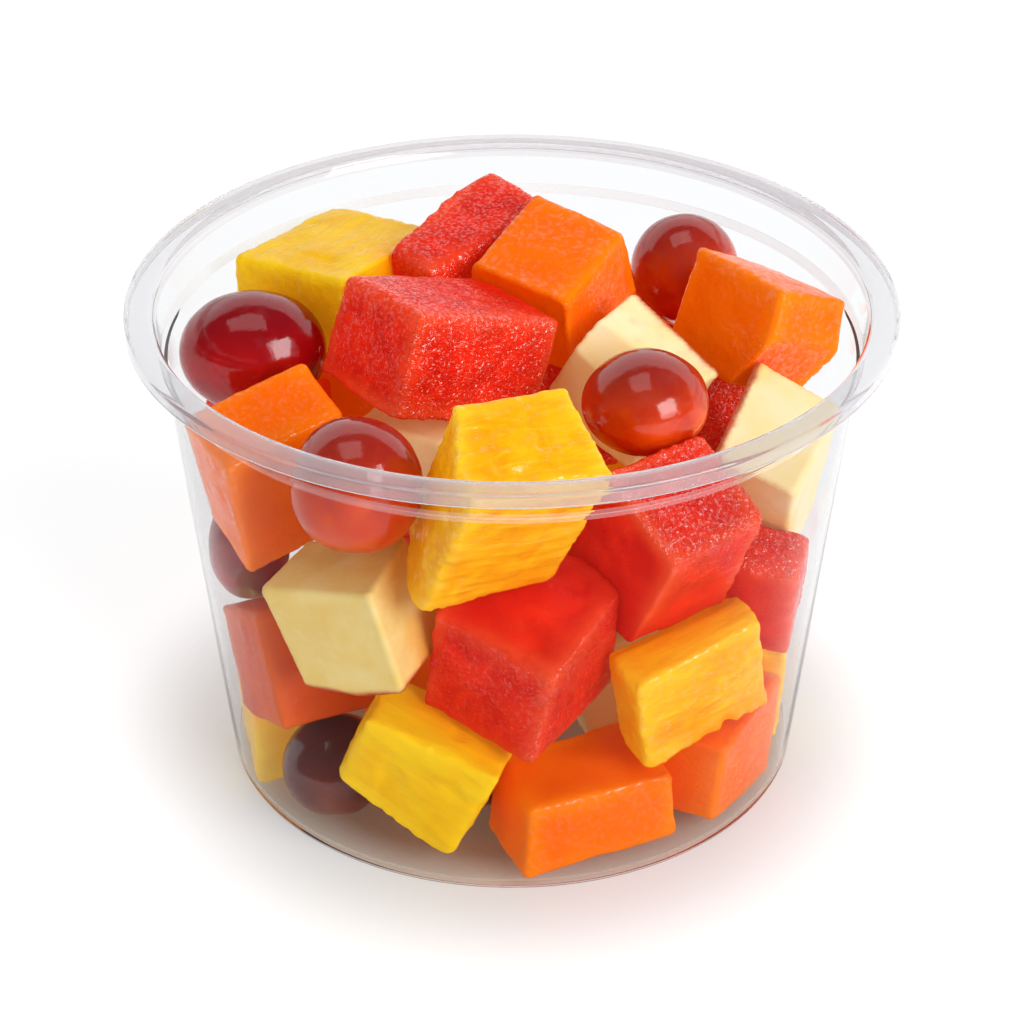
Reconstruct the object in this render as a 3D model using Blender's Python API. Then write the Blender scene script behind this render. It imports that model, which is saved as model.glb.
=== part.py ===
"""Fruit cup: a clear plastic deli cup filled with cut fruit and whole grapes.

Sizes are millimetres in this file and become metres where a mesh is written. +Z is up, and the
origin is the middle of the cup's foot on the table.
"""
import math
import random

import bmesh
import bpy
import numpy as np
from mathutils import Euler, Vector

MM = 0.001
SEED = 16

# Cup
CUP_HEIGHT = 78.0
RIM_RADIUS = 58.5
FLANGE_INNER_RADIUS = 54.75
FLANGE_THICKNESS = 0.9
SKIRT_DROP = 2.4
SKIRT_THICKNESS = 0.6
RIM_ROUND = 0.6
WALL = 0.6
STEP_HEIGHT = 70.2
STEP_OUT = 0.75
RADIUS_UNDER_STEP = 52.85
RADIUS_UNDER_FLANGE = 54.3
RADIUS_AT_FOOT = 45.0
FOOT_CURVE = 1.6
FOOT_RING_WIDTH = 1.4
FLOOR_RAISE = 0.5
FLOOR_THICKNESS = 0.6
CUP_SEGMENTS = 64
ARC_STEPS = 3

# Fruit
CORNER_ROUND = {"watermelon": 1.4, "melon": 1.2, "pineapple": 1.3, "apple": 0.8}
CORNER_UNEVENNESS = 0.9
FACE_CROWN = 0.4
SKIN_BULGE = 1.8
SHARP_EDGE = math.radians(50)
GRAPE_SEGMENTS = 12
GRAPE_RINGS = 8

# Room between the pieces
CLEARANCE = 0.4
SETTLE_PASSES = 90
SINK = 0.12
FILL_TOP = 63.0
NEAR = 0.01
UNCUT = 3
HARDNESS = {"watermelon": 1, "melon": 1, "pineapple": 1, "apple": 2, "grape": UNCUT}
PARALLEL = 0.1
REACHES = (0.25, 0.08, 0.03, 0.0)
STEPS = (-1.0, 0.0, 1.0)
NUDGES = np.array([(x, y, z) for x in STEPS for y in STEPS for z in STEPS])

# Colour, roughness, transmission
FINISHES = {
    "cup": ((0.94, 0.95, 0.97), 0.05, 1.0),
    "watermelon": ((0.80, 0.06, 0.05), 0.35, 0.0),
    "melon": ((0.93, 0.26, 0.03), 0.30, 0.0),
    "pineapple": ((0.90, 0.56, 0.08), 0.40, 0.0),
    "apple": ((0.91, 0.78, 0.42), 0.45, 0.0),
    "grape": ((0.30, 0.03, 0.05), 0.15, 0.0),
}

# The pieces that show from the front: name, middle, turn in degrees, size
SEEN = (
    ("pineapple_top_left", (-26, 24.5, 68), (-3, -3, -33), (25.5, 28, 14.5)),
    ("watermelon_top_back", (-7, 26, 68), (7, 2, -50), (16.5, 26, 21.5)),
    ("melon_top_middle", (6, 16, 72), (16, 6, -32), (18.5, 22, 15)),
    ("melon_top_right", (38.6, 9.8, 67.5), (-24, -4, -51), (21.5, 16.5, 18.5)),
    ("melon_left", (-35.5, -13, 56), (14, 15, -57), (14.5, 20.5, 24.5)),
    ("watermelon_top_front", (-10.5, -2.5, 70), (-18, -2, -54), (19.5, 29, 18.5)),
    ("apple_middle", (18.5, 2.5, 62), (6, 30, -37), (18.5, 13.5, 19)),
    ("apple_right", (40, -4, 48.5), (24, 16, -21), (15.5, 19, 31)),
    ("pineapple_front", (-2.5, -36, 63.5), (-3, 28, -62), (17.5, 24, 30)),
    ("watermelon_front_right", (21, -24.5, 51), (7, 30, -51), (22, 22, 26.5)),
    ("apple_front_left", (-23.5, -32, 41.5), (7, -16, -27), (19.5, 14.5, 20)),
    ("watermelon_front", (2, -31, 35.5), (78, 8, -122), (24.5, 21, 22)),
    ("pineapple_front_right", (27, -27.5, 26.5), (12, 8, -56), (10.5, 24.5, 21)),
    ("pineapple_front_low", (-13.3, -34.5, 17), (94, 22, -15), (22.5, 19, 16)),
    ("melon_front_low", (10.8, -33, 8.2), (1, -1, -67), (18, 26, 14)),
    ("melon_right_low", (33.5, -23, 10.5), (0, 3, -29), (12.5, 20.5, 19)),
    ("melon_left_low", (-32, -17.5, 25), (1, -24, -61), (17, 17.5, 19.5)),
    ("watermelon_right", (38.5, -12, 36.5), (20, 6, -16), (15.5, 17, 22.5)),
    ("pineapple_right_low", (37, 0, 11), (0, 5, -7), (15, 17.5, 18)),
    ("pineapple_left_low", (-35.5, -9, 9.5), (0, -3, 17), (15, 17.5, 16)),
    ("apple_deep", (-13, -2, 53), (0, 0, -33), (15, 16, 15)),
    ("watermelon_deep", (6, 8, 54), (0, 7, -60), (18, 17, 16)),
    ("grape_top_back", (28, 32.5, 66), (0, 0, 0), (17.5, 17.5, 18)),
    ("grape_top_left", (-40, 4, 66.5), (0, 0, 0), (23, 19.5, 18.5)),
    ("grape_middle", (20, -14, 67.5), (0, 0, 0), (19, 18.5, 15.5)),
    ("grape_front_left", (-22.5, -34, 65), (0, 0, 0), (19.5, 19.5, 20.5)),
    ("grape_left_low", (-28, -25.5, 9.4), (0, 0, 0), (16.5, 17, 16)),
    ("grape_left", (-41, -5, 37), (0, 0, 0), (13, 13, 18)),
    ("grape_front_low", (-5, -23, 9.4), (0, 0, 0), (16, 16, 15.5)),
)

# The pieces that finish the back and the inside: height, ring radius, spots on the ring
LAYERS = ((11, 33, 9), (11, 11, 3), (30, 36, 10), (31, 13, 3), (48, 39, 11), (48, 13, 3))
FILL_SPACING = 18.0
FILL_SIZE = (17.0, 18.5, 17.5)
FILL_SIZE_SPREAD = 1.5
FILL_TILT = 25.0


def arc(centre, radius, start, end, steps):
    """Points on an arc in the r-z plane, with both ends, angles in degrees."""
    points = []
    for step in range(steps + 1):
        angle = math.radians(start + (end - start) * step / steps)
        points.append((centre[0] + radius * math.cos(angle), centre[1] + radius * math.sin(angle)))
    return points


def cup_profile():
    """The cup's section from the middle of its underside, round the rim, to the middle of its floor."""
    foot_middle = RADIUS_AT_FOOT - FOOT_CURVE
    floor_top = FLOOR_RAISE + FLOOR_THICKNESS
    flange_under = CUP_HEIGHT - FLANGE_THICKNESS
    skirt_inner = RIM_RADIUS - SKIRT_THICKNESS
    skirt_low = CUP_HEIGHT - SKIRT_DROP
    above_step = STEP_HEIGHT + STEP_OUT
    outside = [(0.0, FLOOR_RAISE), (foot_middle - FOOT_RING_WIDTH - FLOOR_RAISE, FLOOR_RAISE)]
    outside.append((foot_middle - FOOT_RING_WIDTH, 0.0))
    outside += arc((foot_middle, FOOT_CURVE), FOOT_CURVE, -90, -5, ARC_STEPS)
    outside.append((RADIUS_UNDER_STEP, STEP_HEIGHT))
    outside.append((RADIUS_UNDER_STEP + STEP_OUT, above_step))
    outside.append((RADIUS_UNDER_FLANGE, flange_under))
    rim = [(skirt_inner - RIM_ROUND, flange_under), (skirt_inner, flange_under - RIM_ROUND)]
    rim.append((skirt_inner, skirt_low))
    rim.append((RIM_RADIUS - RIM_ROUND / 4, skirt_low))
    rim.append((RIM_RADIUS, skirt_low + RIM_ROUND))
    rim += arc((RIM_RADIUS - RIM_ROUND, CUP_HEIGHT - RIM_ROUND), RIM_ROUND, 0, 90, ARC_STEPS)
    rim.append((FLANGE_INNER_RADIUS + RIM_ROUND, CUP_HEIGHT))
    rim.append((FLANGE_INNER_RADIUS, CUP_HEIGHT - RIM_ROUND / 3))
    inside = [(RADIUS_UNDER_FLANGE - WALL, flange_under - RIM_ROUND)]
    inside.append((RADIUS_UNDER_STEP + STEP_OUT - WALL, above_step + WALL / 2))
    inside.append((RADIUS_UNDER_STEP - WALL, STEP_HEIGHT + WALL / 2))
    inside.append((RADIUS_AT_FOOT - WALL, floor_top + WALL))
    inside += [(foot_middle - WALL, floor_top), (0.0, floor_top)]
    return outside + rim + inside


def turned_mesh(name, profile, segments):
    """A closed mesh turned from a section whose first and last points are on the axis."""
    bm = bmesh.new()
    rings = []
    for radius, height in profile:
        count = 1 if radius == 0.0 else segments
        ring = []
        for index in range(count):
            angle = 2 * math.pi * index / segments
            place = Vector((radius * math.cos(angle), radius * math.sin(angle), height))
            ring.append(bm.verts.new(place * MM))
        rings.append(ring)
    for lower, upper in zip(rings, rings[1:]):
        for index in range(segments):
            after = (index + 1) % segments
            if len(lower) == 1:
                bm.faces.new((lower[0], upper[after], upper[index]))
            elif len(upper) == 1:
                bm.faces.new((lower[index], lower[after], upper[0]))
            else:
                bm.faces.new((lower[index], lower[after], upper[after], upper[index]))
    return finished_mesh(name, bm)


def finished_mesh(name, bm):
    """Write a bmesh to a smooth-shaded mesh of triangles with its faces pointing out."""
    bmesh.ops.recalc_face_normals(bm, faces=bm.faces)
    bmesh.ops.triangulate(bm, faces=bm.faces)
    mesh = bpy.data.meshes.new(name)
    bm.to_mesh(mesh)
    bm.free()
    mesh.shade_smooth()
    mesh.set_sharp_from_angle(angle=SHARP_EDGE)
    return mesh


def chunk_mesh(name, kind, size, draw):
    """A hand-cut block: uneven corners, slightly crowned faces and soft edges.

    An apple's lower face is its skin, and bulges as the outside of an apple does.
    """
    bm = bmesh.new()
    bmesh.ops.create_cube(bm, size=1.0)
    for corner in bm.verts:
        uneven = [draw.uniform(-CORNER_UNEVENNESS, CORNER_UNEVENNESS) for axis in range(3)]
        corner.co = Vector([part * side for part, side in zip(corner.co, size)]) + Vector(uneven)
    corners = set(bm.verts)
    bmesh.ops.subdivide_edges(bm, edges=bm.edges, cuts=1, use_grid_fill=True)
    for vert in bm.verts:
        if vert not in corners:
            vert.co += vert.co.normalized() * FACE_CROWN
            if kind == "apple" and vert.co.z < 0:
                vert.co.z -= SKIN_BULGE * (1 - (2 * vert.co.x / size[0]) ** 2)
    sharp = [edge for edge in bm.edges if edge.calc_face_angle(0.0) > SHARP_EDGE]
    bmesh.ops.bevel(bm, geom=sharp, offset=CORNER_ROUND[kind], segments=2, profile=0.5,
                    affect="EDGES", clamp_overlap=True)
    fit = []
    for axis in range(3):
        along = [vert.co[axis] for vert in bm.verts]
        fit.append(size[axis] / (max(along) - min(along)) * MM)
    bmesh.ops.scale(bm, vec=Vector(fit), verts=bm.verts)
    return finished_mesh(name, bm)


def grape_mesh(name, size):
    """A whole grape: an ellipsoid with its long axis along X."""
    bm = bmesh.new()
    bmesh.ops.create_uvsphere(bm, u_segments=GRAPE_SEGMENTS, v_segments=GRAPE_RINGS, radius=0.5)
    bmesh.ops.scale(bm, vec=Vector(size) * MM, verts=bm.verts)
    return finished_mesh(name, bm)


class Piece:
    """One piece of fruit: its mesh, its turn and where its middle is, in millimetres."""

    def __init__(self, name, middle, turn, size, filling, draw):
        self.name = name
        self.kind = name.split("_")[0]
        self.middle = np.array(middle, dtype=float)
        self.turn = Euler([math.radians(angle) for angle in turn])
        self.axes = np.array(self.turn.to_matrix())
        self.filling = filling
        if self.kind == "grape":
            self.mesh = grape_mesh(name, size)
        else:
            self.mesh = chunk_mesh(name, self.kind, size, draw)
        self.read_shape()

    def read_shape(self):
        """Keep the mesh's points, turned as the piece is, for measuring room."""
        flat = np.empty(len(self.mesh.vertices) * 3)
        self.mesh.vertices.foreach_get("co", flat)
        self.shape = flat.reshape(-1, 3) @ self.axes.T / MM
        self.reach = float(np.linalg.norm(self.shape, axis=1).max())

    def points(self):
        return self.shape + self.middle

    def trim(self, way, limit):
        """Cut off what lies further along a direction than a limit, as a knife would."""
        bm = bmesh.new()
        bm.from_mesh(self.mesh)
        normal = Vector(way @ self.axes)
        place = normal * float(limit - self.middle @ way) * MM
        everything = bm.verts[:] + bm.edges[:] + bm.faces[:]
        cut = bmesh.ops.bisect_plane(bm, geom=everything, dist=NEAR * MM, plane_co=place,
                                     plane_no=normal, clear_outer=True)
        rim = [part for part in cut["geom_cut"] if isinstance(part, bmesh.types.BMEdge)]
        bmesh.ops.holes_fill(bm, edges=rim)
        bmesh.ops.dissolve_degenerate(bm, edges=bm.edges, dist=NEAR * MM)
        bmesh.ops.recalc_face_normals(bm, faces=bm.faces)
        bmesh.ops.triangulate(bm, faces=bm.faces)
        bm.to_mesh(self.mesh)
        bm.free()
        self.read_shape()


def try_ways(a_points, b_points, ways):
    """The room between two sets of points along each way, and the widest of them."""
    room = (b_points @ ways.T).min(axis=0) - (a_points @ ways.T).max(axis=0)
    best = int(room.argmax())
    return float(room[best]), ways[best]


def room_between(a, b):
    """The gap between two convex pieces and its direction; below zero where they overlap."""
    line = b.middle - a.middle
    line /= np.linalg.norm(line)
    crosses = np.cross(a.axes.T[:, None, :], b.axes.T[None, :, :]).reshape(-1, 3)
    crosses = crosses[np.linalg.norm(crosses, axis=1) > PARALLEL]
    ways = np.vstack((line, a.axes.T, b.axes.T, crosses))
    ways *= np.where(ways @ line < 0, -1.0, 1.0)[:, None]
    a_points = a.points()
    b_points = b.points()
    for reach in REACHES:
        ways /= np.linalg.norm(ways, axis=1)[:, None]
        room, way = try_ways(a_points, b_points, ways)
        if room > CLEARANCE:
            break
        ways = way + reach * NUDGES
    return room, way


def inner_radius(height):
    """The cup's inner radius at each height."""
    heights = (0.0, STEP_HEIGHT, STEP_HEIGHT + STEP_OUT + WALL / 2, CUP_HEIGHT)
    under_step = RADIUS_UNDER_STEP - WALL
    above_step = under_step + STEP_OUT
    radii = (RADIUS_AT_FOOT - WALL, under_step, above_step, RADIUS_UNDER_FLANGE - WALL)
    return np.interp(height, heights, radii)


def keep_in_cup(piece):
    """Push a piece in from the wall and up from the floor, and hold a filling piece down."""
    points = piece.points()
    radii = np.hypot(points[:, 0], points[:, 1])
    beyond = radii - inner_radius(points[:, 2]) + CLEARANCE
    worst = int(beyond.argmax())
    if beyond[worst] > 0:
        piece.middle[:2] -= points[worst, :2] / radii[worst] * beyond[worst]
    under = FLOOR_RAISE + FLOOR_THICKNESS + CLEARANCE - points[:, 2].min()
    if under > 0:
        piece.middle[2] += under
    over = points[:, 2].max() - FILL_TOP
    if piece.filling and over > 0:
        piece.middle[2] -= over


def near_pairs(pieces):
    """Every pair of pieces whose middles are near enough for them to touch."""
    for index, a in enumerate(pieces):
        for b in pieces[index + 1:]:
            if np.linalg.norm(b.middle - a.middle) < a.reach + b.reach + CLEARANCE:
                yield a, b


def settle(pieces):
    """Let the filling pieces sink into the room that the pieces that show leave them."""
    for turn in range(SETTLE_PASSES):
        for piece in pieces:
            if piece.filling:
                piece.middle[2] -= SINK
        for a, b in near_pairs(pieces):
            if not (a.filling or b.filling):
                continue
            room, way = room_between(a, b)
            short = max(CLEARANCE - room, 0.0)
            share = a.filling / (a.filling + b.filling)
            a.middle -= way * short * share
            b.middle += way * short * (1 - share)
        for piece in pieces:
            keep_in_cup(piece)


def share_of_cut(a, b):
    """How much of a cut comes off the first of two pieces: all of it if that is the softer one."""
    firm = [HARDNESS[piece.kind] for piece in (a, b)]
    if UNCUT not in firm:
        firm = [level * (not piece.filling) for level, piece in zip(firm, (a, b))]
    if firm[0] == firm[1]:
        return 0.5
    return 1.0 if firm[0] < firm[1] else 0.0


def trim_apart(pieces):
    """Cut each pair that still meets along the flat between them."""
    for a, b in near_pairs(pieces):
        room, way = room_between(a, b)
        short = CLEARANCE - room
        if short <= 0:
            continue
        if a.kind == "grape" and b.kind == "grape":
            raise ValueError(f"{a.name} meets {b.name} by {short:.1f} mm")
        share = share_of_cut(a, b)
        a_limit = (a.points() @ way).max() - short * share
        if share > 0:
            a.trim(way, a_limit)
        if share < 1:
            b.trim(-way, -a_limit - CLEARANCE)


def add_filling(pieces, draw):
    """Pieces for the spots on each layer's ring that have nothing near them yet."""
    kinds = list(CORNER_ROUND) + ["grape"]
    for height, ring, spots in LAYERS:
        start = draw.uniform(0, 360)
        for spot in range(spots):
            angle = math.radians(start + 360 * spot / spots)
            middle = np.array((ring * math.cos(angle), ring * math.sin(angle), height))
            if min(np.linalg.norm(piece.middle - middle) for piece in pieces) < FILL_SPACING:
                continue
            nearest = {}
            for kind in kinds:
                same = [piece for piece in pieces if piece.kind == kind]
                nearest[kind] = min(np.linalg.norm(piece.middle - middle) for piece in same)
            kind = max(kinds, key=nearest.get)
            count = sum(piece.filling and piece.kind == kind for piece in pieces)
            turn = [draw.uniform(-FILL_TILT, FILL_TILT) for axis in range(2)] + [draw.uniform(0, 90)]
            size = [side + draw.uniform(-FILL_SIZE_SPREAD, FILL_SIZE_SPREAD) for side in FILL_SIZE]
            pieces.append(Piece(f"{kind}_fill_{count + 1}", middle, turn, size, True, draw))


def material(kind):
    """The Principled material of the cup or of a kind of fruit."""
    colour, roughness, transmission = FINISHES[kind]
    finish = bpy.data.materials.new(kind)
    finish.use_nodes = True
    shader = finish.node_tree.nodes["Principled BSDF"]
    shader.inputs["Base Color"].default_value = (*colour, 1.0)
    shader.inputs["Roughness"].default_value = roughness
    shader.inputs["Transmission Weight"].default_value = transmission
    finish.diffuse_color = (*colour, 1.0)
    return finish


def add_object(name, mesh, finish):
    thing = bpy.data.objects.new(name, mesh)
    mesh.materials.append(finish)
    bpy.context.scene.collection.objects.link(thing)
    return thing


def main():
    for thing in list(bpy.data.objects):
        bpy.data.objects.remove(thing, do_unlink=True)
    draw = random.Random(SEED)
    finishes = {kind: material(kind) for kind in FINISHES}
    add_object("cup", turned_mesh("cup", cup_profile(), CUP_SEGMENTS), finishes["cup"])
    pieces = [Piece(*row, False, draw) for row in SEEN]
    add_filling(pieces, draw)
    settle(pieces)
    trim_apart(pieces)
    for piece in pieces:
        fruit = add_object(piece.name, piece.mesh, finishes[piece.kind])
        fruit.location = Vector(piece.middle) * MM
        fruit.rotation_euler = piece.turn


main()
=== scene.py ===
"""Looks of the fruit cup: wet cut fruit and whole grapes in a clear plastic cup."""
import itertools
import math

import bmesh
import bpy
import numpy as np
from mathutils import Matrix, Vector
from mathutils.bvhtree import BVHTree


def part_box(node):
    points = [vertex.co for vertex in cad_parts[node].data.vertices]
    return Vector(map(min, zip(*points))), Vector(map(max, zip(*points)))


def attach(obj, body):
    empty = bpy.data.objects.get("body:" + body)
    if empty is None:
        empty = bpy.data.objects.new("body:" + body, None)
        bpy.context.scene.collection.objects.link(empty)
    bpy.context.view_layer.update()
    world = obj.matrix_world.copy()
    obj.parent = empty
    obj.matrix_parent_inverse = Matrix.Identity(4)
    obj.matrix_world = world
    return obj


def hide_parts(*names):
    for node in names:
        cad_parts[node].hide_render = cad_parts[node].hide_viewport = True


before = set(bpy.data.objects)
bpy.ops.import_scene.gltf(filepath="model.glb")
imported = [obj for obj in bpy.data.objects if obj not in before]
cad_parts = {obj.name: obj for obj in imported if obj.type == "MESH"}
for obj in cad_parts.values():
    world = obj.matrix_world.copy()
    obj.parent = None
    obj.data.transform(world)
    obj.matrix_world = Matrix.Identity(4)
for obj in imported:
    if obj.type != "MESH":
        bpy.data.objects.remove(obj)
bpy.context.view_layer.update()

MM = 0.001

# Camera
CAMERA_DISTANCE = 0.5424
CAMERA_ELEVATION = math.radians(31.06)
CAMERA_TARGET = Vector((0, 0, 0.040))
CAMERA_LENS = 121.7
CAMERA_CLIP_START = 0.01

# Studio, with lengths in metres
WHITE = (1.0, 1.0, 1.0, 1.0)
FLOOR_RADIUS = 4.0
FLOOR_SEGMENTS = 64
FLOOR_DROP = 0.00005
FLOOR_COLOUR = (0.50, 0.52, 0.53, 1.0)
FLOOR_ROUGHNESS = 0.6
# The floor's glow drops near the cup, a painted soft shadow around its foot
FLOOR_GLOW_NEAR = 0.28
FLOOR_GLOW_FAR = 0.62
FLOOR_GLOW_FROM = 0.044
FLOOR_GLOW_TO = 0.070
BACKDROP_WAY = (0.0, 0.857, -0.515)
BACKDROP_FROM = -0.04
BACKDROP_TO = 0.06
BACKDROP_STRENGTH = 1.3
ROOM_STRENGTH = 0.12
LIGHT_MIDDLE = Vector((0, 0, 0.05))
LIGHT_DISTANCE = 2.0

# How many times light may bounce
ALL_BOUNCES = 14
SOFT_BOUNCES = 3
STRAIGHT_BOUNCES = 32

# Cup, with lengths in millimetres
CUP_SEGMENTS = 256
CUP_HEIGHT = 78.0
RIM_RADIUS = 58.5
FLANGE_INNER_RADIUS = 54.75
FLANGE_THICKNESS = 0.9
SKIRT_DROP = 2.4
SKIRT_THICKNESS = 0.6
WALL = 0.6
STEP_HEIGHT = 70.2
STEP_OUT = 0.75
RADIUS_UNDER_STEP = 52.85
RADIUS_UNDER_FLANGE = 54.3
RADIUS_AT_FOOT = 45.0
FOOT_CURVE = 1.6
FOOT_TUCK = 0.15
FOOT_RING_WIDTH = 1.4
FLOOR_RAISE = 0.5
FLOOR_THICKNESS = 0.6

# How the corners of the cup's section are rounded, with lengths in millimetres
CORNER_STEPS = 5
CORNER_SHARE = 0.45
FOOT_RING_ROUND = 0.2
STEP_ROUND = 0.3
FLANGE_ROUND = 0.4
SKIRT_INNER_ROUND = 0.15
SKIRT_OUTER_ROUND = 0.25
RIM_ROUND = 0.6
MOUTH_ROUND = 0.5
FLOOR_ROUND = 1.5

# Bands of the cup's plastic, with heights in millimetres
WALL_BAND, RIM_BAND, STEP_BAND = range(3)
RIM_FROM = 74.5
STEP_FROM = 68.0
STEP_TO = 73.2
WALL_TINT = (0.85, 0.85, 0.855, 1.0)
RIM_TINT = (0.75, 0.745, 0.765, 1.0)
UNBENT_TINT = (0.97, 0.97, 0.975, 1.0)

# Juice, with lengths in millimetres
JUICE_RADIUS = 44.6
JUICE_DEPTH = 0.9
# The juice is darkest in the middle, where its tint also paints the shade under the fruit
JUICE_POOLED_AND_SHADE = (0.56, 0.31, 0.20)
JUICE_THIN = (0.92, 0.80, 0.68)
JUICE_THIN_FROM = 0.84

# Meshes of the fruit, with lengths in millimetres
SEEN_GRAIN = 0.55
FILL_GRAIN = 0.7
SOFTEN_PASSES = 3
SOFTEN_FACTOR = 0.5
WELD = 0.02
EDGE_PASSES = 4
EDGE_FULL = 0.12
EDGE_OUT = 0.38
# How far and how strongly the painted glow along a piece's edges spreads
GLOW_PASSES = 14
GLOW_GAIN = 2.2
# How far the painted contact shade reaches from other pieces
NEAR_REACH = 5.0
PATTERN_SHIFT = 40.0

# How nearly two faces point the same way, or a face lies square to another, as a cosine
SAME_WAY = 0.97
SQUARE_WAY = 0.3

# Relief in millimetres, as (height, grain)
WATERMELON_LUMPS = ((0.22, 6.0), (0.10, 2.4), (0.07, 1.2))
WATERMELON_BITES = (0.45, 2.2)
MELON_LUMPS = ((0.25, 7.0), (0.07, 2.0))
MELON_BITES = (0.20, 3.0)
PINEAPPLE_LUMPS = ((0.28, 5.5),)
PINEAPPLE_STRANDS = ((0.20, 1.5), (0.10, 0.9))
PINEAPPLE_BITES = (0.6, 1.8)
PINEAPPLE_PITS = (0.5, 4.0)
PIT_FROM = 0.45
PIT_TO = 0.8
APPLE_LUMPS = ((0.14, 7.0), (0.03, 1.6))
GRAPE_LUMPS = ((0.22, 8.0), (0.08, 3.0))
FIBRE_STRETCH = (0.16, 1.0, 1.0)
BITE_SEED = 3
PIT_SEED = 4

# Where an apple's skin begins and is full, as a cosine, and how its border wavers
SKIN_FROM = 0.0
SKIN_TO = 0.5
SKIN_WOBBLE = 0.1
SKIN_WOBBLE_GRAIN = 1.5

# Where a watermelon's rough face begins and is full, as a cosine, and how it stands out
ROUGH_FROM = 0.4
ROUGH_TO = 0.8
ROUGH_LEAST = 0.3
ROUGH_MORE = 0.9
GLINT_GAIN = 1.8

# Grapes, with lengths in millimetres
GRAPE_SEGMENTS = 64
GRAPE_RINGS = 40
STEM_SHIFT = (0.0, -4.5, 1.5)
DIMPLE_DEPTH = 0.7
DIMPLE_RADIUS = 1.3
SCAR_RADIUS = 1.9
FAR_FROM_STEM = 99.0
SCAR_COLOUR = (0.36, 0.20, 0.06)

# Apple skin is streaked with its own colour turned yellow by these weights
STREAK_WEIGHTS = (1.5, 9.0, 3.0)
STREAK_STRETCH = (1.0, 0.15, 1.0)

# Where a piece's first own axis points: to an apple's skin, a grape's stem or a watermelon's rough
# face, or along a pineapple's fibres
WAYS = {
    "apple": Vector((0.0, 0.6, -0.5)),
    "grape": Vector((0.2, 0.7, -0.7)),
    "pineapple": Vector((1.0, 0.3, 0.2)),
    "watermelon": Vector((0.3, -0.9, 0.2)),
}
NODE_WAYS = {
    "apple_front_left": Vector((-0.2, 0.2, -0.9)),
    "apple_middle": Vector((0.7, 0.7, 0.0)),
    "apple_right": Vector((-0.8, 0.5, 0.0)),
    "grape_top_left": Vector((-1.0, 0.0, 0.0)),
    "pineapple_front": Vector((0.8, 0.3, 0.4)),
    "pineapple_front_low": Vector((0.3, 0.1, -0.9)),
    "pineapple_front_right": Vector((0.8, 0.4, 0.3)),
}

# Whole numbers that scatter a cell and a seed over a 32-bit word
CELL_FACTORS = np.array((73856093, 19349663, 83492791))
SEED_FACTOR = 2654435761
MIXING = ((15, 1274126177), (13, 2246822519))
LAST_SHIFT = 16
WORD = 0xFFFFFFFF
HALF_WORD = 0x7FFFFFFF


def lattice(cells, seed):
    """A repeatable random value from -1 to 1 for each whole-number cell."""
    mixed = np.bitwise_xor.reduce(cells * CELL_FACTORS, axis=1)
    mixed = (mixed ^ seed * SEED_FACTOR) & WORD
    for shift, factor in MIXING:
        mixed = ((mixed ^ mixed >> shift) * factor) & WORD
    return (mixed ^ mixed >> LAST_SHIFT) / HALF_WORD - 1.0


def noise(points, grain, seed):
    """Smooth noise from -1 to 1 with lumps about one grain across."""
    place = points / grain
    base = np.floor(place).astype(np.int64)
    part = place - base
    part = part * part * (3 - 2 * part)
    total = np.zeros(len(points))
    for corner in itertools.product((0, 1), repeat=3):
        weight = np.where(np.array(corner) == 1, part, 1 - part).prod(axis=1)
        total += weight * lattice(base + corner, seed)
    return total


def smoothstep(values, low, high):
    part = np.clip((values - low) / (high - low), 0, 1)
    return part * part * (3 - 2 * part)


def points_of(mesh):
    flat = np.empty(len(mesh.vertices) * 3, np.float32)
    mesh.vertices.foreach_get("co", flat)
    return flat.reshape(-1, 3).astype(float)


def normals_of(mesh):
    flat = np.empty(len(mesh.vertices) * 3, np.float32)
    mesh.vertex_normals.foreach_get("vector", flat)
    return flat.reshape(-1, 3).astype(float)


def middle_of(points):
    return (points.min(axis=0) + points.max(axis=0)) / 2


def set_points(mesh, points):
    mesh.vertices.foreach_set("co", points.astype(np.float32).ravel())
    mesh.update()


def store(mesh, name, values):
    """Keep a number or a vector for each point, for the materials to read."""
    kind, key = ("FLOAT", "value") if values.ndim == 1 else ("FLOAT_VECTOR", "vector")
    layer = mesh.attributes.new(name, kind, "POINT")
    layer.data.foreach_set(key, values.astype(np.float32).ravel())


def mesh_from(bm, name):
    """Turn a finished bmesh into a mesh."""
    mesh = bpy.data.meshes.new(name)
    bm.to_mesh(mesh)
    bm.free()
    return mesh


def placed(name, data):
    """Put a new object in the scene."""
    thing = bpy.data.objects.new(name, data)
    bpy.context.scene.collection.objects.link(thing)
    return thing


def kind_of(node):
    return node.split("_")[0]


def way_of(node):
    """Where a piece's first own axis points."""
    return np.array(NODE_WAYS.get(node, WAYS[kind_of(node)]))


def own_axes(mesh):
    """Three square directions along the flat sides of a cut piece."""
    normals = np.array([face.normal for face in mesh.polygons])
    areas = np.array([face.area for face in mesh.polygons])
    alike = np.abs(normals @ normals.T)
    score = (alike > SAME_WAY) @ areas
    first = normals[int(score.argmax())]
    square = np.abs(normals @ first) < SQUARE_WAY
    second = normals[int((score * square).argmax())]
    second = second - first * (second @ first)
    second /= np.linalg.norm(second)
    return np.array((first, second, np.cross(first, second)))


def turned_towards(axes, way):
    """The axes in another order, so that the first is the one nearest to a direction."""
    along = axes @ way
    best = int(np.abs(along).argmax())
    order = [best, (best + 1) % 3, (best + 2) % 3]
    turned = axes[order]
    if along[best] < 0:
        turned = turned * np.array((-1, -1, 1))[:, None]
    return turned


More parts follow.
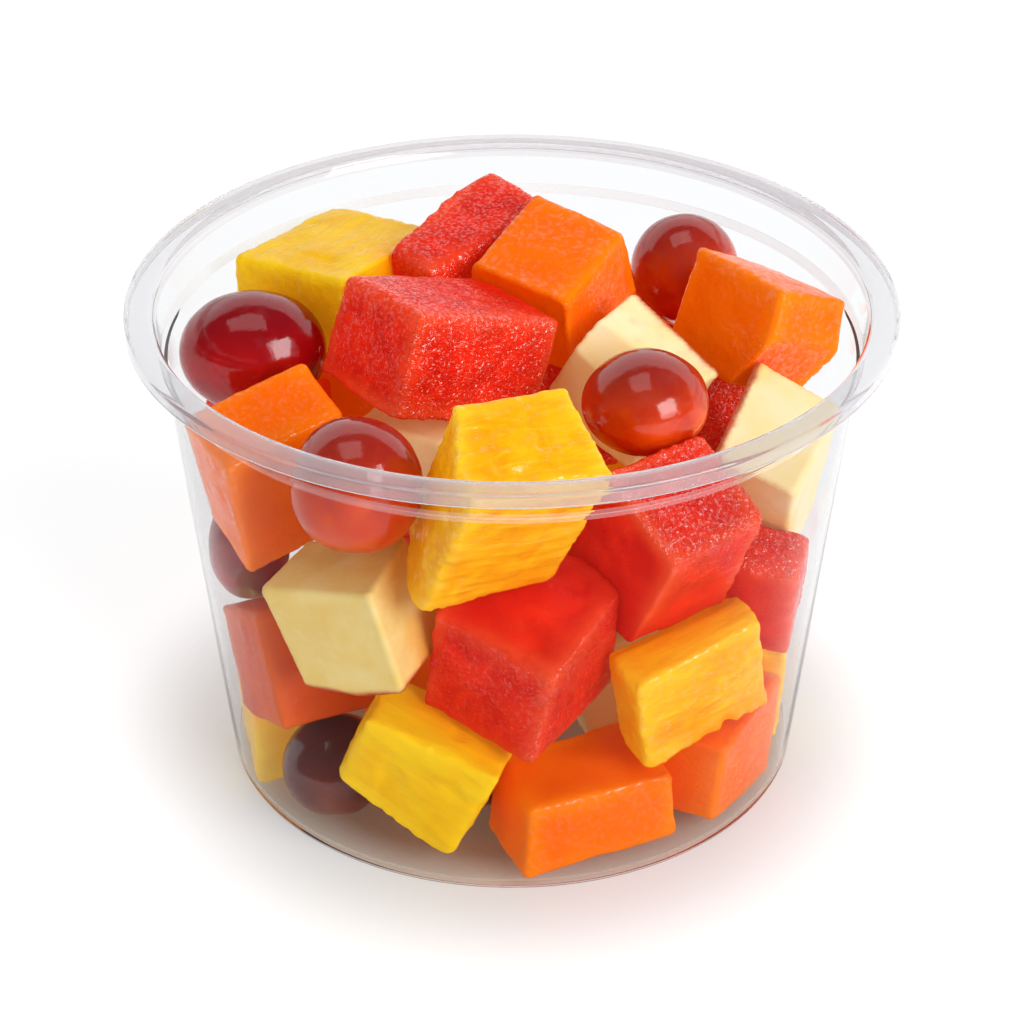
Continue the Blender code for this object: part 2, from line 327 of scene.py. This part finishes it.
def fine_copy(node, grain):
    """The CAD solid as an even mesh of small quads, with its edges a little softened."""
    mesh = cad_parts[node].data.copy()
    bm = bmesh.new()
    bm.from_mesh(mesh)
    bmesh.ops.remove_doubles(bm, verts=bm.verts, dist=WELD * MM)
    bm.to_mesh(mesh)
    bm.free()
    piece = placed(f"{node}_fine", mesh)
    even = piece.modifiers.new("even", "REMESH")
    even.mode = "VOXEL"
    even.voxel_size = grain * MM
    soft = piece.modifiers.new("soft", "SMOOTH")
    soft.factor = SOFTEN_FACTOR
    soft.iterations = SOFTEN_PASSES
    depsgraph = bpy.context.evaluated_depsgraph_get()
    fine = bpy.data.meshes.new_from_object(piece.evaluated_get(depsgraph))
    piece.modifiers.clear()
    piece.data = fine
    fine.materials.clear()
    fine.shade_smooth()
    return piece


def spread_out(mesh, values, passes):
    """Values for each point, averaged with their neighbours some times over."""
    ends = np.empty(len(mesh.edges) * 2, np.int32)
    mesh.edges.foreach_get("vertices", ends)
    first, second = ends.reshape(-1, 2).T
    points = len(mesh.vertices)
    count = np.bincount(ends, minlength=points) + 1
    for turn in range(passes):
        total = values + np.bincount(first, values[second], points)
        values = (total + np.bincount(second, values[first], points)) / count
    return values


def edge_weight(mesh):
    """0 on the flats of a piece, up to 1 along its edges and at its corners."""
    spread = [spread_out(mesh, part, EDGE_PASSES) for part in normals_of(mesh).T]
    return np.clip((1 - np.linalg.norm(spread, axis=0)) / EDGE_FULL, 0, 1)


def nearness(node, points):
    """1 where a point touches another fruit piece, down to 0 at a distance from them all."""
    reach = NEAR_REACH * MM
    low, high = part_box(node)
    corners = []
    faces = []
    for other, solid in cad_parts.items():
        other_low, other_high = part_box(other)
        apart = max(max(a - d, b - c) for a, b, c, d in zip(low, other_low, high, other_high))
        if other in (node, "cup") or apart > reach:
            continue
        first = len(corners)
        corners.extend(vertex.co for vertex in solid.data.vertices)
        faces.extend([first + index for index in face.vertices] for face in solid.data.polygons)
    tree = BVHTree.FromPolygons(corners, faces)
    near = np.zeros(len(points))
    for index, point in enumerate(points.tolist()):
        distance = tree.find_nearest(point, reach)[3]
        if distance is not None:
            near[index] = 1 - distance / reach
    return near


def lumps(place, layers, seed):
    """Layers of noise added up, each with the next seed."""
    return sum(height * noise(place, grain, seed + index) for index, (height, grain) in enumerate(layers))


def bites(own, edge, size, seed):
    """How much is broken off along a piece's edges."""
    depth, grain = size
    return -depth * edge * np.abs(noise(own, grain, seed + BITE_SEED))


def watermelon_relief(own, edge, seed):
    return lumps(own, WATERMELON_LUMPS, seed) + bites(own, edge, WATERMELON_BITES, seed)


def melon_relief(own, edge, seed):
    return lumps(own, MELON_LUMPS, seed) + bites(own, edge, MELON_BITES, seed)


def pineapple_relief(own, edge, seed):
    depth, grain = PINEAPPLE_PITS
    pits = -depth * smoothstep(noise(own, grain, seed + PIT_SEED), PIT_FROM, PIT_TO)
    fibres = lumps(own * np.array(FIBRE_STRETCH), PINEAPPLE_STRANDS, seed + 1)
    return lumps(own, PINEAPPLE_LUMPS, seed) + fibres + pits + bites(own, edge, PINEAPPLE_BITES, seed)


def apple_relief(own, edge, seed):
    return lumps(own, APPLE_LUMPS, seed)


RELIEFS = {
    "watermelon": watermelon_relief,
    "melon": melon_relief,
    "pineapple": pineapple_relief,
    "apple": apple_relief,
}


def cut_piece(node, seed):
    """A fine, wet-looking copy of one cut piece, with what its material needs."""
    kind = kind_of(node)
    piece = fine_copy(node, FILL_GRAIN if "_fill_" in node else SEEN_GRAIN)
    mesh = piece.data
    axes = own_axes(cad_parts[node].data)
    if kind in WAYS:
        axes = turned_towards(axes, way_of(node))
    points = points_of(mesh)
    own = (points - middle_of(points)) @ axes.T / MM
    edge = edge_weight(mesh)
    outward = normals_of(mesh) @ axes[0]
    if kind == "apple":
        wobble = SKIN_WOBBLE * noise(own, SKIN_WOBBLE_GRAIN, seed)
        store(mesh, "skin", smoothstep(outward + wobble, SKIN_FROM, SKIN_TO))
    if kind == "watermelon":
        rough = smoothstep(outward, ROUGH_FROM, ROUGH_TO)
        store(mesh, "grained", ROUGH_LEAST + ROUGH_MORE * rough)
    relief = RELIEFS[kind](own, edge, seed) + EDGE_OUT * edge ** 2
    set_points(mesh, points + normals_of(mesh) * relief[:, None] * MM)
    store(mesh, "own", own + seed * PATTERN_SHIFT)
    # Painted shade: the flesh turns to a darker, deeper colour where it nears other pieces
    store(mesh, "near", nearness(node, points))
    # Painted glow: the flesh is made lighter along edges and corners, as light passing through thin edges
    # would make it
    store(mesh, "glow", np.clip(spread_out(mesh, edge, GLOW_PASSES) * GLOW_GAIN, 0, 1))
    return piece


def unit_sphere(name):
    bm = bmesh.new()
    bmesh.ops.create_uvsphere(bm, u_segments=GRAPE_SEGMENTS, v_segments=GRAPE_RINGS, radius=1.0)
    return mesh_from(bm, name)


def turn_faces_out(mesh):
    bm = bmesh.new()
    bm.from_mesh(mesh)
    bmesh.ops.recalc_face_normals(bm, faces=bm.faces)
    bm.to_mesh(mesh)
    bm.free()


def grape_piece(node, seed):
    """A smooth whole grape on the CAD ellipsoid's own axes, with a stem scar at one end."""
    points = points_of(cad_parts[node].data)
    middle = middle_of(points)
    spread = points - middle
    axes = np.linalg.svd(spread, full_matrices=False)[2]
    half = np.abs(spread @ axes.T).max(axis=0)
    if axes[0] @ way_of(node) < 0:
        axes[0] *= -1
    mesh = unit_sphere(f"{node}_fine")
    unit = points_of(mesh)[:, (2, 1, 0)]
    own = unit * half / MM
    shift = axes @ np.array(STEM_SHIFT)
    from_stem = np.hypot(own[:, 1] - shift[1], own[:, 2] - shift[2])
    from_stem += np.where(own[:, 0] > 0, 0.0, FAR_FROM_STEM)
    dimple = DIMPLE_DEPTH * np.exp(-((from_stem / DIMPLE_RADIUS) ** 2))
    own = own + unit * (lumps(own, GRAPE_LUMPS, seed) - dimple)[:, None]
    set_points(mesh, own * MM @ axes + middle)
    turn_faces_out(mesh)
    mesh.shade_smooth()
    height = points_of(mesh)[:, 2]
    store(mesh, "own", own + seed * PATTERN_SHIFT)
    store(mesh, "scar", np.exp(-((from_stem / SCAR_RADIUS) ** 2)))
    # Painted light: each grape is lighter and redder on its lower part than on its darker top, as light
    # passing through the berry would make it
    store(mesh, "low", 1 - smoothstep(height, middle_of(height), height.max()))
    return placed(f"{node}_fine", mesh)


class Tree:
    """A node tree being put together by short calls."""

    def __init__(self, tree):
        self.tree = tree

    def put(self, socket, value):
        """Link a socket to another node's output, or give it a plain value."""
        if isinstance(value, bpy.types.NodeSocket):
            self.tree.links.new(value, socket)
        else:
            socket.default_value = value

    def add(self, kind, inputs=None, **settings):
        node = self.tree.nodes.new("ShaderNode" + kind)
        for name, value in settings.items():
            setattr(node, name, value)
        for name, value in (inputs or {}).items():
            self.put(node.inputs[name], value)
        return node

    def distance(self, place):
        return self.add("VectorMath", {"Vector": place}, operation="LENGTH").outputs["Value"]


class Look(Tree):
    """A material being put together, with what fruit and plastic often need."""

    def __init__(self, name):
        self.material = bpy.data.materials.new(name)
        self.material.use_nodes = True
        super().__init__(self.material.node_tree)
        self.shader = self.tree.nodes["Principled BSDF"]

    def finish(self, **inputs):
        for name, value in inputs.items():
            self.put(self.shader.inputs[name.replace("_", " ")], value)
        return self.material

    def finish_flesh(self, colour, painted_inner_glow, **inputs):
        """Finish a cut fruit with a painted glow: it shines a little in its own colour, standing in for
        light passing through the flesh.
        """
        # Painted glow: emission in the fruit's own colour
        glow = {"Emission_Color": (*painted_inner_glow, 1.0), "Emission_Strength": 1.0}
        return self.finish(Base_Color=colour, **glow, **inputs)

    def stored(self, name, output="Fac"):
        return self.add("Attribute", attribute_name=name).outputs[output]

    def own(self, stretch=(1.0, 1.0, 1.0)):
        """The piece's own coordinates in millimetres, squeezed along each axis."""
        place = self.add("Mapping", {"Vector": self.stored("own", "Vector"), "Scale": stretch})
        return place.outputs["Vector"]

    def noise(self, place, grain, detail=2.0, distortion=0.0):
        values = {"Vector": place, "Scale": 1 / grain, "Detail": detail, "Distortion": distortion}
        return self.add("TexNoise", values).outputs["Fac"]

    def ramp(self, value, *stops):
        """A value turned into a colour or a weight by stops of (position, colour)."""
        ramp = self.add("ValToRGB", {"Fac": value})
        steps = ramp.color_ramp.elements
        for step, (position, colour) in zip(steps, stops, strict=True):
            step.position = position
            step.color = (*colour, 1.0) if isinstance(colour, tuple) else (colour,) * 3 + (1.0,)
        return ramp.outputs["Color"]

    def mix(self, factor, first, second):
        """One colour turned into another by a factor."""
        node = self.add("Mix", data_type="RGBA")
        sockets = [socket for socket in node.inputs if socket.enabled]
        for socket, value in zip(sockets, (factor, first, second), strict=True):
            if isinstance(value, tuple):
                value = (*value, 1.0)
            self.put(socket, value)
        return next(socket for socket in node.outputs if socket.enabled)

    def sum(self, *terms):
        """Weighted values added up, from pairs of a value and its weight."""
        total = 0.0
        for value, weight in terms:
            node = self.add("Math", operation="MULTIPLY_ADD")
            for socket, part in zip(node.inputs, (value, weight, total), strict=True):
                self.put(socket, part)
            total = node.outputs[0]
        return total

    def wet(self, place, grain, dry, wet):
        """How strongly the surface shines: a dry value, and a wet one in small spots."""
        return self.ramp(self.noise(place, grain), (0.48, dry), (0.64, wet))

    def bump(self, height, strength, depth):
        values = {"Height": height, "Strength": strength, "Distance": depth * MM}
        return self.add("Bump", values).outputs["Normal"]


def watermelon_look(name, deep, bright, light, contact_shade, painted_inner_glow):
    look = Look(name)
    own = look.own()
    blotches = look.noise(own, grain=5.0, detail=3.0, distortion=0.8)
    threads = look.noise(own, grain=1.6, detail=3.0, distortion=1.5)
    flesh = look.ramp(blotches, (0.34, deep), (0.60, bright))
    # Painted glow: lighter flesh along the edges
    flesh = look.mix(look.sum((look.stored("glow"), 0.75)), flesh, light)
    flesh = look.mix(look.ramp(threads, (0.56, 0.0), (0.70, 0.35)), flesh, light)
    # Painted shade where the piece nears others
    flesh = look.mix(look.stored("near"), flesh, contact_shade)
    grained = look.stored("grained")
    height = look.sum((look.noise(own, grain=0.7, distortion=1.2), grained))
    glints = look.sum((look.wet(own, grain=0.6, dry=0.04, wet=1.0), look.sum((grained, GLINT_GAIN))))
    return look.finish_flesh(
        flesh, painted_inner_glow, Roughness=0.13, Specular_IOR_Level=glints,
        Normal=look.bump(height, strength=0.8, depth=0.55),
    )


def melon_look(name, deep, bright, light, contact_shade, painted_inner_glow, shine):
    look = Look(name)
    own = look.own()
    blotches = look.noise(own, grain=9.0, detail=1.0, distortion=0.4)
    flesh = look.ramp(blotches, (0.35, deep), (0.65, bright))
    # Painted glow: lighter flesh along the edges
    flesh = look.mix(look.sum((look.stored("glow"), 0.7)), flesh, light)
    # Painted shade where the piece nears others
    flesh = look.mix(look.stored("near"), flesh, contact_shade)
    height = look.sum((look.noise(own, grain=0.9, detail=3.0), 0.8), (look.noise(own, grain=3.0), 1.2))
    return look.finish_flesh(
        flesh, painted_inner_glow, Roughness=0.22, Specular_IOR_Level=look.wet(own, grain=0.9, dry=0.04, wet=shine),
        Normal=look.bump(height, strength=0.45, depth=0.3),
    )


def pineapple_look(name, deep, bright, light, contact_shade, painted_inner_glow, shine):
    look = Look(name)
    own = look.own()
    blotches = look.noise(own, grain=6.0, distortion=0.8)
    fibres = look.noise(look.own(FIBRE_STRETCH), grain=1.1, detail=3.0, distortion=0.5)
    flesh = look.ramp(blotches, (0.36, deep), (0.64, bright))
    # Painted glow: lighter flesh along the edges
    flesh = look.mix(look.sum((look.stored("glow"), 0.6)), flesh, light)
    flesh = look.mix(look.ramp(fibres, (0.52, 0.0), (0.72, 0.45)), flesh, light)
    flesh = look.mix(look.ramp(fibres, (0.30, 0.30), (0.44, 0.0)), flesh, deep)
    # Painted shade where the piece nears others
    flesh = look.mix(look.stored("near"), flesh, contact_shade)
    height = look.sum((fibres, 1.2), (look.noise(own, grain=0.6), 0.35))
    return look.finish_flesh(
        flesh, painted_inner_glow, Roughness=0.26, Specular_IOR_Level=look.wet(own, grain=1.0, dry=0.05, wet=shine),
        Normal=look.bump(height, strength=0.5, depth=0.3),
    )


def apple_look(name, flesh_colour, shade, skin_colour, contact_shade, painted_inner_glow):
    look = Look(name)
    own = look.own()
    flesh = look.ramp(look.noise(own, grain=6.0), (0.35, shade), (0.65, flesh_colour))
    # Painted shade where the piece nears others
    flesh = look.mix(look.stored("near"), flesh, contact_shade)
    streaks = look.noise(look.own(STREAK_STRETCH), grain=0.8, detail=3.0)
    yellow = tuple(part * weight for part, weight in zip(skin_colour, STREAK_WEIGHTS))
    skin = look.ramp(streaks, (0.4, skin_colour), (0.8, yellow))
    height = look.sum((look.noise(own, grain=0.35, detail=1.0), 0.5), (look.noise(own, grain=1.5), 0.5))
    return look.finish_flesh(
        look.mix(look.stored("skin"), flesh, skin), painted_inner_glow, Roughness=0.36,
        Specular_IOR_Level=look.wet(own, grain=1.0, dry=0.05, wet=0.4),
        Normal=look.bump(height, strength=0.2, depth=0.2),
    )


def grape_look(name, top, deep, bright, bloom):
    look = Look(name)
    own = look.own()
    blotches = look.noise(own, grain=6.0, detail=3.0, distortion=0.5)
    dust = look.noise(own, grain=4.5, detail=4.0, distortion=0.8)
    # Painted light: a darker top over a lighter, redder lower part
    skin = look.mix(look.stored("low"), top, look.ramp(blotches, (0.35, deep), (0.65, bright)))
    skin = look.mix(look.ramp(dust, (0.55, 0.0), (0.80, 0.15)), skin, bloom)
    skin = look.mix(look.stored("scar"), skin, SCAR_COLOUR)
    roughness = look.ramp(look.noise(own, grain=3.0, detail=3.0), (0.35, 0.06), (0.7, 0.16))
    height = look.sum((look.noise(own, grain=0.8), 0.5), (look.noise(own, grain=4.0), 1.0))
    return look.finish(
        Base_Color=skin, Roughness=roughness, Normal=look.bump(height, strength=0.2, depth=0.25),
        Subsurface_Weight=0.8, Subsurface_Radius=(1.0, 0.12, 0.10), Subsurface_Scale=0.006,
        Specular_IOR_Level=0.5,
    )


def see_through(look):
    """Make a clear look bend what is seen through it and let the light in unbent."""
    path = look.add("LightPath")
    unbent = look.add("Math", operation="MAXIMUM")
    look.put(unbent.inputs[0], path.outputs["Is Shadow Ray"])
    look.put(unbent.inputs[1], path.outputs["Is Diffuse Ray"])
    through = look.add("BsdfTransparent", {"Color": UNBENT_TINT})
    mixed = look.add("MixShader")
    look.put(mixed.inputs[0], unbent.outputs[0])
    look.put(mixed.inputs[1], look.shader.outputs[0])
    look.put(mixed.inputs[2], through.outputs[0])
    look.put(look.tree.nodes["Material Output"].inputs["Surface"], mixed.outputs[0])
    return look.material


def plastic_look(name, tint, bend, blur, clear, shine):
    look = Look(name)
    look.finish(
        Base_Color=tint, Roughness=blur, IOR=bend, Transmission_Weight=clear,
        Coat_Weight=shine, Coat_Roughness=0.04,
    )
    return see_through(look)


def cup_plastics():
    """The plastics of the cup's bands, in the bands' order."""
    return (
        plastic_look("wall_plastic", WALL_TINT, bend=1.08, blur=0.0, clear=1.0, shine=0.0),
        plastic_look("rim_plastic", RIM_TINT, bend=1.16, blur=0.06, clear=0.85, shine=0.5),
        plastic_look("step_plastic", WALL_TINT, bend=1.02, blur=0.0, clear=0.85, shine=0.0),
    )


def juice_look(name):
    """A clear juice stain, strongest in the middle of the cup and faint along its edge; the dark middle
    also paints the shade under the fruit.
    """
    look = Look(name)
    distance = look.distance(look.add("TexCoord").outputs["Object"])
    outward = look.add("MapRange", {"Value": distance, "From Max": JUICE_RADIUS * MM}).outputs["Result"]
    tint = look.ramp(outward, (JUICE_THIN_FROM, JUICE_POOLED_AND_SHADE), (1.0, JUICE_THIN))
    look.finish(Base_Color=tint, Roughness=0.0, IOR=1.08, Transmission_Weight=1.0)
    return see_through(look)


def cup_corners():
    """The cup's section in millimetres, as (radius, height, how far its corner is rounded)."""
    ring_inner = RADIUS_AT_FOOT - FOOT_CURVE - FOOT_RING_WIDTH
    floor_top = FLOOR_RAISE + FLOOR_THICKNESS
    flange_under = CUP_HEIGHT - FLANGE_THICKNESS
    skirt_inner = RIM_RADIUS - SKIRT_THICKNESS
    skirt_low = CUP_HEIGHT - SKIRT_DROP
    above_step = STEP_HEIGHT + STEP_OUT
    radius_above_step = RADIUS_UNDER_STEP + STEP_OUT
    return (
        (ring_inner - FLOOR_RAISE, FLOOR_RAISE, FOOT_RING_ROUND),
        (ring_inner, 0.0, FOOT_RING_ROUND),
        (RADIUS_AT_FOOT - FOOT_TUCK, 0.0, FOOT_CURVE),
        (RADIUS_UNDER_STEP, STEP_HEIGHT, STEP_ROUND),
        (radius_above_step, above_step, STEP_ROUND),
        (RADIUS_UNDER_FLANGE, flange_under, FLANGE_ROUND),
        (skirt_inner, flange_under, FLANGE_ROUND),
        (skirt_inner, skirt_low, SKIRT_INNER_ROUND),
        (RIM_RADIUS, skirt_low, SKIRT_OUTER_ROUND),
        (RIM_RADIUS, CUP_HEIGHT, RIM_ROUND),
        (FLANGE_INNER_RADIUS, CUP_HEIGHT, MOUTH_ROUND),
        (RADIUS_UNDER_FLANGE - WALL, flange_under - WALL, FLANGE_ROUND),
        (radius_above_step - WALL, above_step + WALL / 2, STEP_ROUND),
        (RADIUS_UNDER_STEP - WALL, STEP_HEIGHT + WALL / 2, STEP_ROUND),
        (RADIUS_AT_FOOT - WALL, floor_top, FLOOR_ROUND),
    )


def rounded(corners, start, end):
    """The section with every corner turned into a short curve."""
    knots = [Vector(start)] + [Vector(corner[:2]) for corner in corners] + [Vector(end)]
    points = [knots[0]]
    for before, knot, after, corner in zip(knots, knots[1:], knots[2:], corners):
        ends = []
        for other in (before, after):
            side = other - knot
            ends.append(knot + side.normalized() * min(corner[2], side.length * CORNER_SHARE))
        for step in range(CORNER_STEPS + 1):
            part = step / CORNER_STEPS
            points.append(ends[0].lerp(knot, part).lerp(knot.lerp(ends[1], part), part))
    points.append(knots[-1])
    return points


def turned(section):
    """A section in millimetres turned about the cup's axis, which both its ends lie on."""
    bm = bmesh.new()
    rings = []
    for radius, height in section:
        ring = []
        for index in range(1 if radius == 0 else CUP_SEGMENTS):
            angle = 2 * math.pi * index / CUP_SEGMENTS
            place = Vector((radius * math.cos(angle), radius * math.sin(angle), height))
            ring.append(bm.verts.new(place * MM))
        rings.append(ring)
    for lower, upper in zip(rings, rings[1:]):
        for index in range(CUP_SEGMENTS):
            after = (index + 1) % CUP_SEGMENTS
            if len(lower) == 1:
                bm.faces.new((lower[0], upper[after], upper[index]))
            elif len(upper) == 1:
                bm.faces.new((lower[index], lower[after], upper[0]))
            else:
                bm.faces.new((lower[index], lower[after], upper[after], upper[index]))
    bmesh.ops.recalc_face_normals(bm, faces=bm.faces)
    return bm


def band_of(height):
    """Which band of the cup's plastic lies at a height in millimetres."""
    if height > RIM_FROM:
        return RIM_BAND
    if STEP_FROM < height < STEP_TO:
        return STEP_BAND
    return WALL_BAND


def cup_piece():
    """The clear cup, turned from its rounded section."""
    floor_top = FLOOR_RAISE + FLOOR_THICKNESS
    bm = turned(rounded(cup_corners(), (0.0, FLOOR_RAISE), (0.0, floor_top)))
    for face in bm.faces:
        face.material_index = band_of(face.calc_center_median().z / MM)
    mesh = mesh_from(bm, "cup_fine")
    mesh.shade_smooth()
    for plastic in cup_plastics():
        mesh.materials.append(plastic)
    return placed("cup_fine", mesh)


def juice_piece():
    """A thin pool of juice on the cup's floor, reaching just into the wall."""
    bm = bmesh.new()
    bmesh.ops.create_cone(
        bm, cap_ends=True, segments=CUP_SEGMENTS, radius1=JUICE_RADIUS * MM,
        radius2=JUICE_RADIUS * MM, depth=JUICE_DEPTH * MM,
    )
    middle = FLOOR_RAISE + FLOOR_THICKNESS - WALL / 2 + JUICE_DEPTH / 2
    bmesh.ops.translate(bm, verts=bm.verts, vec=(0.0, 0.0, middle * MM))
    mesh = mesh_from(bm, "juice")
    mesh.materials.append(juice_look("juice_film"))
    return placed("juice", mesh)


def add_camera():
    data = bpy.data.cameras.new("camera")
    data.lens = CAMERA_LENS
    data.clip_start = CAMERA_CLIP_START
    camera = placed("camera", data)
    back = Vector((0, -math.cos(CAMERA_ELEVATION), math.sin(CAMERA_ELEVATION)))
    camera.location = CAMERA_TARGET + back * CAMERA_DISTANCE
    camera.rotation_euler = (-back).to_track_quat("-Z", "Y").to_euler()
    bpy.context.scene.camera = camera


def floor_look(name):
    """A pale floor that glows faintly, and less close to the cup: a painted soft shadow around the cup's
    foot.
    """
    look = Look(name)
    distance = look.distance(look.add("NewGeometry").outputs["Position"])
    glow = look.add("MapRange", {
        "Value": distance, "From Min": FLOOR_GLOW_FROM, "From Max": FLOOR_GLOW_TO,
        "To Min": FLOOR_GLOW_NEAR, "To Max": FLOOR_GLOW_FAR,
    }, interpolation_type="SMOOTHSTEP")
    return look.finish(
        Base_Color=FLOOR_COLOUR, Roughness=FLOOR_ROUGHNESS, Emission_Color=WHITE,
        Emission_Strength=glow.outputs["Result"],
    )


def add_floor():
    bm = bmesh.new()
    bmesh.ops.create_circle(bm, cap_ends=True, radius=FLOOR_RADIUS, segments=FLOOR_SEGMENTS)
    floor = placed("floor", mesh_from(bm, "floor"))
    floor.location.z = -FLOOR_DROP
    floor.data.materials.append(floor_look("floor_white"))


def add_world():
    """A dim room with a bright backdrop that fills the half behind the cup."""
    world = bpy.data.worlds.new("studio")
    world.use_nodes = True
    bpy.context.scene.world = world
    tree = Tree(world.node_tree)
    facing = tree.add("VectorMath", operation="DOT_PRODUCT")
    tree.put(facing.inputs[0], tree.add("TexCoord").outputs["Generated"])
    tree.put(facing.inputs[1], BACKDROP_WAY)
    strength = tree.add("MapRange", {
        "Value": facing.outputs["Value"], "From Min": BACKDROP_FROM, "From Max": BACKDROP_TO,
        "To Min": ROOM_STRENGTH, "To Max": BACKDROP_STRENGTH,
    }, interpolation_type="SMOOTHSTEP")
    background = world.node_tree.nodes["Background"]
    tree.put(background.inputs["Strength"], strength.outputs["Result"])
    tree.put(background.inputs["Color"], WHITE)


def add_light(name, way, size, power, mirrored=True):
    """A square soft light that shines on the cup from a direction, mirrored by gloss or not."""
    data = bpy.data.lights.new(name, "AREA")
    data.size = size
    data.energy = power
    light = placed(name, data)
    direction = Vector(way).normalized()
    light.location = LIGHT_MIDDLE + direction * LIGHT_DISTANCE
    light.rotation_euler = (-direction).to_track_quat("-Z", "Y").to_euler()
    light.visible_glossy = mirrored
    light.visible_transmission = mirrored


def add_lights():
    add_light("key", way=(0.62, -0.61, 0.47), size=1.29, power=42.0)
    add_light("overhead", way=(-0.15, -0.02, 0.99), size=1.1, power=5.5)
    add_light("fill", way=(-0.60, -0.74, 0.30), size=1.6, power=12.0, mirrored=False)


def set_up_render():
    scene = bpy.context.scene
    scene.view_settings.view_transform = "Standard"
    scene.cycles.max_bounces = ALL_BOUNCES
    scene.cycles.transmission_bounces = ALL_BOUNCES
    scene.cycles.diffuse_bounces = SOFT_BOUNCES
    scene.cycles.transparent_max_bounces = STRAIGHT_BOUNCES
    scene.cycles.caustics_reflective = False
    scene.cycles.caustics_refractive = False


LOOKS = {
    "watermelon": watermelon_look(
        "watermelon_flesh",
        deep=(0.52, 0.006, 0.003), bright=(0.72, 0.018, 0.005), light=(0.78, 0.085, 0.024),
        contact_shade=(0.60, 0.010, 0.003), painted_inner_glow=(0.13, 0.003, 0.001)),
    "melon": melon_look(
        "melon_flesh",
        deep=(0.78, 0.108, 0.001), bright=(0.82, 0.135, 0.002), light=(0.84, 0.21, 0.003),
        contact_shade=(0.74, 0.070, 0.0), painted_inner_glow=(0.16, 0.022, 0.0), shine=0.5),
    # Painted shade: a darker copy of the melon for a piece that sits in shadow
    "melon_deep": melon_look(
        "melon_shaded_flesh",
        deep=(0.56, 0.050, 0.0), bright=(0.62, 0.070, 0.001), light=(0.66, 0.11, 0.002),
        contact_shade=(0.52, 0.030, 0.0), painted_inner_glow=(0.08, 0.008, 0.0), shine=0.1),
    "pineapple": pineapple_look(
        "pineapple_flesh",
        deep=(0.74, 0.265, 0.002), bright=(0.80, 0.39, 0.006), light=(0.82, 0.54, 0.025),
        contact_shade=(0.76, 0.23, 0.0), painted_inner_glow=(0.19, 0.072, 0.0), shine=0.6),
    "pineapple_pale": pineapple_look(
        "pineapple_pale_flesh",
        deep=(0.66, 0.37, 0.001), bright=(0.70, 0.46, 0.003), light=(0.74, 0.53, 0.012),
        contact_shade=(0.78, 0.27, 0.0), painted_inner_glow=(0.24, 0.10, 0.002), shine=0.15),
    "apple": apple_look(
        "apple_flesh",
        flesh_colour=(0.86, 0.73, 0.44), shade=(0.86, 0.68, 0.32), skin_colour=(0.40, 0.008, 0.012),
        contact_shade=(0.86, 0.56, 0.16), painted_inner_glow=(0.09, 0.062, 0.018)),
    # Painted shade: a darker, deeper copy of the apple for a piece that sits in shadow
    "apple_shaded": apple_look(
        "apple_shaded_flesh",
        flesh_colour=(0.80, 0.62, 0.25), shade=(0.76, 0.53, 0.16), skin_colour=(0.40, 0.008, 0.012),
        contact_shade=(0.74, 0.30, 0.02), painted_inner_glow=(0.05, 0.028, 0.002)),
    "grape": grape_look(
        "grape_skin",
        top=(0.24, 0.001, 0.005), deep=(0.28, 0.001, 0.003), bright=(0.42, 0.003, 0.004),
        bloom=(0.36, 0.12, 0.16)),
    "grape_red": grape_look(
        "grape_red_skin",
        top=(0.32, 0.018, 0.010), deep=(0.52, 0.028, 0.002), bright=(0.70, 0.070, 0.002),
        bloom=(0.36, 0.14, 0.13)),
    # Painted shade: a very dark grape for gaps that show only shadow
    "grape_shaded": grape_look(
        "grape_shaded_skin",
        top=(0.08, 0.009, 0.009), deep=(0.12, 0.018, 0.012), bright=(0.20, 0.038, 0.020),
        bloom=(0.20, 0.10, 0.10)),
}

# Pieces whose colour differs from the rest of their kind; the shaded looks are darker copies, painted
# shade for pieces that sit in shadow
VARIANTS = {
    "pineapple_top_left": "pineapple_pale",
    "pineapple_left_low": "pineapple_pale",
    "pineapple_front_low": "pineapple_pale",
    "melon_left_low": "melon_deep",
    "grape_top_back": "grape_red",
    "grape_middle": "grape_red",
    "grape_front_left": "grape_red",
    "grape_left_low": "grape_shaded",
    "grape_front_low": "grape_shaded",
    "apple_front_left": "apple_shaded",
}

add_camera()
add_floor()
add_world()
add_lights()
set_up_render()

for number, node in enumerate(sorted(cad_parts)):
    kind = kind_of(node)
    if kind == "cup":
        piece = cup_piece()
    else:
        piece = grape_piece(node, number) if kind == "grape" else cut_piece(node, number)
        piece.data.materials.append(LOOKS[VARIANTS.get(node, kind)])
    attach(piece, "root")
    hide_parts(node)

juice = juice_piece()
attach(juice, "root")

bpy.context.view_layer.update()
